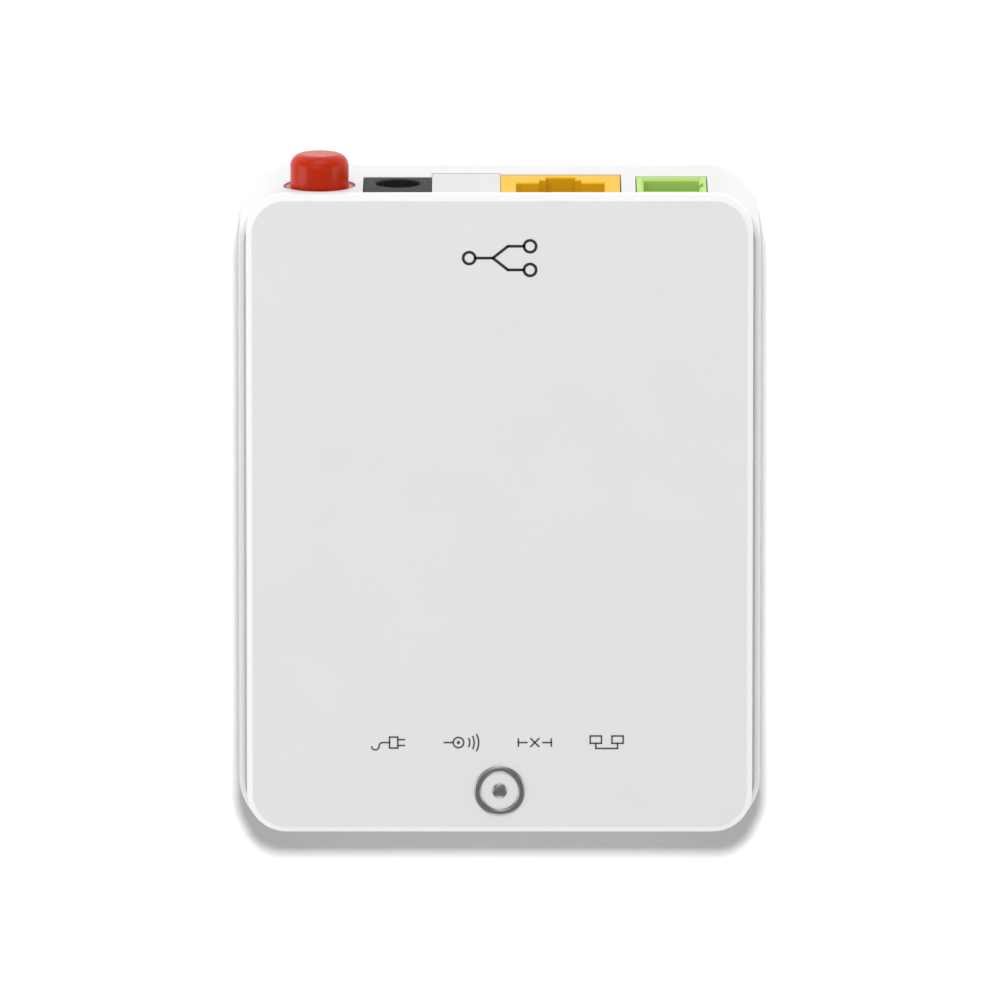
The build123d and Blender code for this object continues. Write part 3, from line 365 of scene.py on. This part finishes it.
def led_white():
    """White packages with a warm, blotchy tint like that of phosphor."""
    look = Shader("led_white", (0.85, 0.85, 0.8), 0.35)
    grain = look.noise(0.25)
    look.tint(look.ranged(grain, 0.0, 1.0), (0.8, 0.79, 0.7), (0.9, 0.86, 0.6))
    look.rough(grain, 0.25, 0.4)
    look.bump(grain, 0.004)
    return look


def clear_guide():
    look = Shader("clear_guide", (0.96, 0.97, 0.98), 0.08, Transmission_Weight=0.92, IOR=1.49)
    flow = look.noise(1.5)
    look.rough(flow, 0.05, 0.14)
    look.bump(flow, 0.004)
    return look


def white_jacket():
    return moulded_plastic("white_jacket", (0.8, 0.8, 0.74), 0.38, 0.3, 0.004, vary=0.03)


def dark_ink():
    """Printed ink: matt black with a slightly uneven film."""
    return moulded_plastic("dark_ink", (0.012, 0.012, 0.013), 0.55, 0.2, 0.003, vary=0.3)


def grey_ink():
    return moulded_plastic("grey_ink", (0.075, 0.072, 0.073), 0.5, 0.2, 0.003, vary=0.25)


def nickel_badge():
    return plated_metal("nickel_badge", (0.30, 0.29, 0.295), 0.34, brush=(0.1, 1, 1))


MATERIALS = {
    "white_shell": white_shell,
    "white_cover": white_cover,
    "blank_plastic": blank_plastic,
    "orange_button": orange_button,
    "yellow_plastic": yellow_plastic,
    "green_plastic": green_plastic,
    "green_rubber": lambda: soft_rubber("green_rubber", (0.05, 0.22, 0.04)),
    "charcoal_plastic": charcoal_plastic,
    "plated_metal": lambda: plated_metal("plated_metal", (0.70, 0.69, 0.66), 0.28),
    "gold_contacts": lambda: plated_metal("gold_contacts", (0.87, 0.60, 0.22), 0.22),
    "aluminium_sink": lambda: plated_metal("aluminium_sink", (0.55, 0.56, 0.58), 0.42, (1, 0.06, 1)),
    "capacitor_sleeve": lambda: plated_metal("capacitor_sleeve", (0.72, 0.72, 0.73), 0.3, (1, 1, 0.1)),
    "zinc_screw": lambda: plated_metal("zinc_screw", (0.62, 0.62, 0.64), 0.3),
    "zirconia": zirconia,
    "white_jacket": white_jacket,
    "circuit_board": circuit_board,
    "chip_black": chip_black,
    "ferrite": ferrite,
    "ceramic_parts": ceramic_parts,
    "thermal_pad": thermal_pad,
    "led_white": led_white,
    "clear_guide": clear_guide,
    "switch_white": lambda: moulded_plastic("switch_white", (0.78, 0.77, 0.72), 0.35),
    "grey_rubber": lambda: soft_rubber("grey_rubber", (0.05, 0.05, 0.052)),
}


def give_material(piece, material):
    piece.data.materials.clear()
    piece.data.materials.append(material)


def place_mesh(name, mesh, material, smooth=False):
    """A new piece on the housing, from a bmesh that is then freed."""
    bmesh.ops.recalc_face_normals(mesh, faces=mesh.faces)
    data = bpy.data.meshes.new(name)
    mesh.to_mesh(data)
    mesh.free()
    for polygon in data.polygons:
        polygon.use_smooth = smooth
    piece = bpy.data.objects.new(name, data)
    bpy.context.scene.collection.objects.link(piece)
    give_material(piece, material)
    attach(piece, "housing")
    return piece


def join_rings(mesh, here, there):
    """Faces between two closed rings with the same number of corners."""
    count = len(here)
    for i in range(count):
        j = (i + 1) % count
        mesh.faces.new((here[i], here[j], there[j], there[i]))


def finish_cad_nodes():
    """Every carried-over CAD node takes the look of its material slot."""
    looks = {}
    for part in record["subparts"]:
        slot = part["material_slot"]
        if slot not in looks:
            looks[slot] = MATERIALS[slot]().material
        give_material(nodes[part["node"]], looks[slot])


# ---------------------------------------------------------------- return spring of the power switch
WIRE_R = 0.17 * MM
OPEN_TURNS, CLOSED_TURNS = 4.5, 0.75  # the closed turns are at each end
STEPS_PER_TURN, WIRE_SIDES = 32, 10


def return_spring():
    """A wound spring with closed ends, against the switch, built at one fixed length."""
    low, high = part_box("power_switch_spring")
    middle = (low + high) / 2
    radius = (high.x - low.x) / 2 - WIRE_R
    length = high.y - low.y
    turns = OPEN_TURNS + 2 * CLOSED_TURNS
    closed_rise = 2 * WIRE_R  # per turn
    open_rise = (length - 2 * WIRE_R - 2 * CLOSED_TURNS * closed_rise) / OPEN_TURNS
    steps = int(turns * STEPS_PER_TURN)
    mesh = bmesh.new()
    rings = []
    for step in range(steps + 1):
        turn = step / STEPS_PER_TURN
        in_start = min(turn, CLOSED_TURNS)
        in_open = min(max(turn - CLOSED_TURNS, 0.0), OPEN_TURNS)
        in_end = max(turn - CLOSED_TURNS - OPEN_TURNS, 0.0)
        y = low.y + WIRE_R + (in_start + in_end) * closed_rise + in_open * open_rise
        a = math.tau * turn
        ring = []
        for side in range(WIRE_SIDES):
            b = math.tau * side / WIRE_SIDES
            r = radius + WIRE_R * math.cos(b)
            place = (middle.x + r * math.cos(a), y + WIRE_R * math.sin(b), middle.z + r * math.sin(a))
            ring.append(mesh.verts.new(place))
        rings.append(ring)
    for here, there in zip(rings, rings[1:]):
        join_rings(mesh, here, there)
    mesh.faces.new(rings[0])
    mesh.faces.new(rings[-1])
    metal = MATERIALS["plated_metal"]().material
    piece = place_mesh("return_spring", mesh, metal, smooth=True)
    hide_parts("power_switch_spring")
    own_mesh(piece)


# ---------------------------------------------------------------- printed marks on the cover
INK_HEIGHT = 0.03 * MM
INK_SINK = 0.01 * MM
ARC_STEP, LEAST_ARC_STEPS = 7.5, 8  # degrees, and the fewest steps in an arc
CAP_STEPS = 6  # in each round end of a line
DOT_STEPS = 24


class Mark:
    """A printed mark: flat strokes, built in millimetres about a centre on the cover's face."""

    def __init__(self, name, x, y):
        self.name = name
        self.x, self.y = x, y
        self.mesh = bmesh.new()

    def corner(self, u, v, z):
        return self.mesh.verts.new((self.x + u * MM, self.y + v * MM, z))

    def prism(self, outline):
        """A thin closed prism over an outline given in millimetres, anticlockwise."""
        low, high = face_z - INK_SINK, face_z + INK_HEIGHT
        rings = []
        for z in (low, high):
            rings.append([self.corner(u, v, z) for u, v in outline])
        bottom, top = rings
        self.mesh.faces.new(top)
        self.mesh.faces.new(list(reversed(bottom)))
        join_rings(self.mesh, bottom, top)

    def line(self, start, end, width):
        """A straight stroke with round ends."""
        start, end = Vector(start), Vector(end)
        along = (end - start).normalized()
        turn = math.atan2(along.y, along.x)
        r = width / 2
        outline = []
        for centre, first in ((end, turn - math.pi / 2), (start, turn + math.pi / 2)):
            for step in range(CAP_STEPS + 1):
                a = first + math.pi * step / CAP_STEPS
                outline.append((centre.x + r * math.cos(a), centre.y + r * math.sin(a)))
        self.prism(outline)

    def path(self, points, width):
        for start, end in zip(points, points[1:]):
            self.line(start, end, width)

    def arc(self, centre, radius, width, first=0.0, last=360.0):
        """A stroke along an arc, in degrees; a whole turn is a ring."""
        steps = max(int(abs(last - first) / ARC_STEP), LEAST_ARC_STEPS)
        whole = abs(last - first) >= 360.0
        inner, outer = radius - width / 2, radius + width / 2
        low, high = face_z - INK_SINK, face_z + INK_HEIGHT
        rings = []
        for step in range(steps if whole else steps + 1):
            a = math.radians(first + (last - first) * step / steps)
            section = []
            for r, z in ((inner, low), (outer, low), (outer, high), (inner, high)):
                section.append(self.corner(centre[0] + r * math.cos(a), centre[1] + r * math.sin(a), z))
            rings.append(section)
        for here, there in zip(rings, rings[1:]):
            join_rings(self.mesh, here, there)
        if whole:
            join_rings(self.mesh, rings[-1], rings[0])
        else:
            self.mesh.faces.new(list(reversed(rings[0])))
            self.mesh.faces.new(rings[-1])

    def dot(self, centre, radius):
        outline = []
        for step in range(DOT_STEPS):
            a = math.tau * step / DOT_STEPS
            outline.append((centre[0] + radius * math.cos(a), centre[1] + radius * math.sin(a)))
        self.prism(outline)

    def build(self, ink):
        place_mesh(self.name, self.mesh, ink)


TITLE_Y = wall_y - 8.45 * MM
LABEL_Y = front_y + 12.3 * MM
EMBLEM_Y = front_y + 5.7 * MM
LED_HALF = 0.8 * MM  # half of a light's width, under each label
TITLE_STROKE = 0.36
LABEL_STROKE = 0.2


def network_mark(ink):
    """One line that splits into two: the general sign for a passive optical network."""
    mark = Mark("network_mark", 0.0, TITLE_Y)
    mark.arc((-4.05, 0.0), 0.8, TITLE_STROKE)
    mark.line((-3.25, 0.0), (-0.9, 0.0), TITLE_STROKE)
    for side in (-1, 1):
        mark.line((-0.9, 0.0), (1.1, side * 1.6), TITLE_STROKE)
        mark.line((1.1, side * 1.6), (3.25, side * 1.6), TITLE_STROKE)
        mark.arc((4.05, side * 1.6), 0.8, TITLE_STROKE)
    mark.build(ink)


def power_label(ink, x):
    """A mains plug with its lead."""
    mark = Mark("power_label", x, LABEL_Y)
    w = LABEL_STROKE
    mark.path([(-0.2, -0.75), (-0.2, 0.75), (0.9, 0.75), (0.9, -0.75), (-0.2, -0.75)], w)
    for side in (-1, 1):
        mark.line((0.9, side * 0.4), (1.8, side * 0.4), w)
    mark.line((-0.2, 0.0), (-1.1, 0.0), w)
    mark.arc((-1.1, -0.5), 0.5, w, 90, 180)
    mark.arc((-2.1, -0.5), 0.5, w, 180, 360)
    mark.build(ink)


def fibre_label(ink, x):
    """The end of a fibre with light leaving it."""
    mark = Mark("fibre_label", x, LABEL_Y)
    w = LABEL_STROKE
    mark.line((-2.5, 0.0), (-1.3, 0.0), w)
    mark.arc((-0.6, 0.0), 0.7, w)
    mark.dot((-0.6, 0.0), 0.22)
    for radius in (1.3, 1.9, 2.5):
        mark.arc((-0.4, 0.0), radius, w, -28, 28)
    mark.build(ink)


def alarm_label(ink, x):
    """A line that is broken by a cross: no signal."""
    mark = Mark("alarm_label", x, LABEL_Y)
    w = LABEL_STROKE
    for side in (-1, 1):
        mark.line((side * 2.2, 0.0), (side * 1.05, 0.0), w)
        mark.line((-0.55, -0.55 * side), (0.55, 0.55 * side), w)
        mark.line((side * 2.2, -0.5), (side * 2.2, 0.5), w)
    mark.build(ink)


def lan_label(ink, x):
    """Two linked screens."""
    mark = Mark("lan_label", x, LABEL_Y)
    w = LABEL_STROKE
    for side in (-1, 1):
        c = side * 1.45
        left, right = c - 0.75, c + 0.75
        mark.path([(left, -0.1), (left, 0.9), (right, 0.9), (right, -0.1), (left, -0.1)], w)
        mark.line((c, -0.1), (c, -0.8), w)
    mark.line((-1.45, -0.8), (1.45, -0.8), w)
    mark.build(ink)


RING_RADIUS, RING_HALF, RING_RISE = 2.95 * MM, 0.44 * MM, 0.22 * MM
DOT_RADIUS, DOT_RISE = 1.0 * MM, 0.28 * MM
EMBLEM_SINK = 0.05 * MM
RING_STEPS, RING_SIDES = 64, 12
DOME_STEPS, DOME_SIDES = 32, 6


def emblem_circle(mesh, radius, z, steps):
    """Corners round a circle about the emblem's centre."""
    circle = []
    for i in range(steps):
        a = math.tau * i / steps
        place = (radius * math.cos(a), EMBLEM_Y + radius * math.sin(a), z)
        circle.append(mesh.verts.new(place))
    return circle


def fibre_emblem(metal):
    """A raised ring round a dot, as a fibre's cladding and core, in rounded section."""
    mesh = bmesh.new()
    circles = []
    for k in range(RING_SIDES + 1):
        b = math.pi * k / RING_SIDES
        z = face_z + RING_RISE * math.sin(b)
        circles.append(emblem_circle(mesh, RING_RADIUS + RING_HALF * math.cos(b), z, RING_STEPS))
    for radius in (RING_RADIUS - RING_HALF, RING_RADIUS + RING_HALF):
        circles.append(emblem_circle(mesh, radius, face_z - EMBLEM_SINK, RING_STEPS))
    for here, there in zip(circles, circles[1:] + circles[:1]):
        join_rings(mesh, here, there)
    top = mesh.verts.new((0, EMBLEM_Y, face_z + DOT_RISE))
    base = mesh.verts.new((0, EMBLEM_Y, face_z - EMBLEM_SINK))
    circles = []
    for k in range(1, DOME_SIDES + 1):
        b = math.pi / 2 * k / DOME_SIDES
        z = face_z + DOT_RISE * math.cos(b)
        circles.append(emblem_circle(mesh, DOT_RADIUS * math.sin(b), z, DOME_STEPS))
    circles.append(emblem_circle(mesh, DOT_RADIUS, face_z - EMBLEM_SINK, DOME_STEPS))
    for here, there in zip(circles, circles[1:]):
        join_rings(mesh, here, there)
    for i in range(DOME_STEPS):
        j = (i + 1) % DOME_STEPS
        mesh.faces.new((top, circles[0][i], circles[0][j]))
        mesh.faces.new((base, circles[-1][j], circles[-1][i]))
    place_mesh("fibre_emblem", mesh, metal, smooth=True)


def print_marks():
    black = dark_ink().material
    grey = grey_ink().material
    network_mark(black)
    labels = (power_label, fibre_label, alarm_label, lan_label)
    first, last = led_low.x + LED_HALF, led_high.x - LED_HALF
    pitch = (last - first) / (len(labels) - 1)
    for number, label in enumerate(labels):
        label(grey, first + number * pitch)
    fibre_emblem(nickel_badge().material)


# ---------------------------------------------------------------- floor
FLOOR_HALF = 3.0


def make_floor():
    corners = [(x * FLOOR_HALF, y * FLOOR_HALF, 0) for x, y in ((-1, -1), (1, -1), (1, 1), (-1, 1))]
    data = bpy.data.meshes.new("floor")
    data.from_pydata(corners, [], [(0, 1, 2, 3)])
    floor = bpy.data.objects.new("floor", data)
    bpy.context.scene.collection.objects.link(floor)
    look = Shader("floor_paper", (0.92, 0.92, 0.92), 0.9)
    paper = look.noise(40.0)
    look.tint(look.ranged(paper, 0.0, 1.0), (0.915, 0.915, 0.915), (0.925, 0.925, 0.925))
    give_material(floor, look.material)
    floor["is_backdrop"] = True
    return floor


make_camera()
finish_cad_nodes()
return_spring()
print_marks()
make_studio(make_floor())
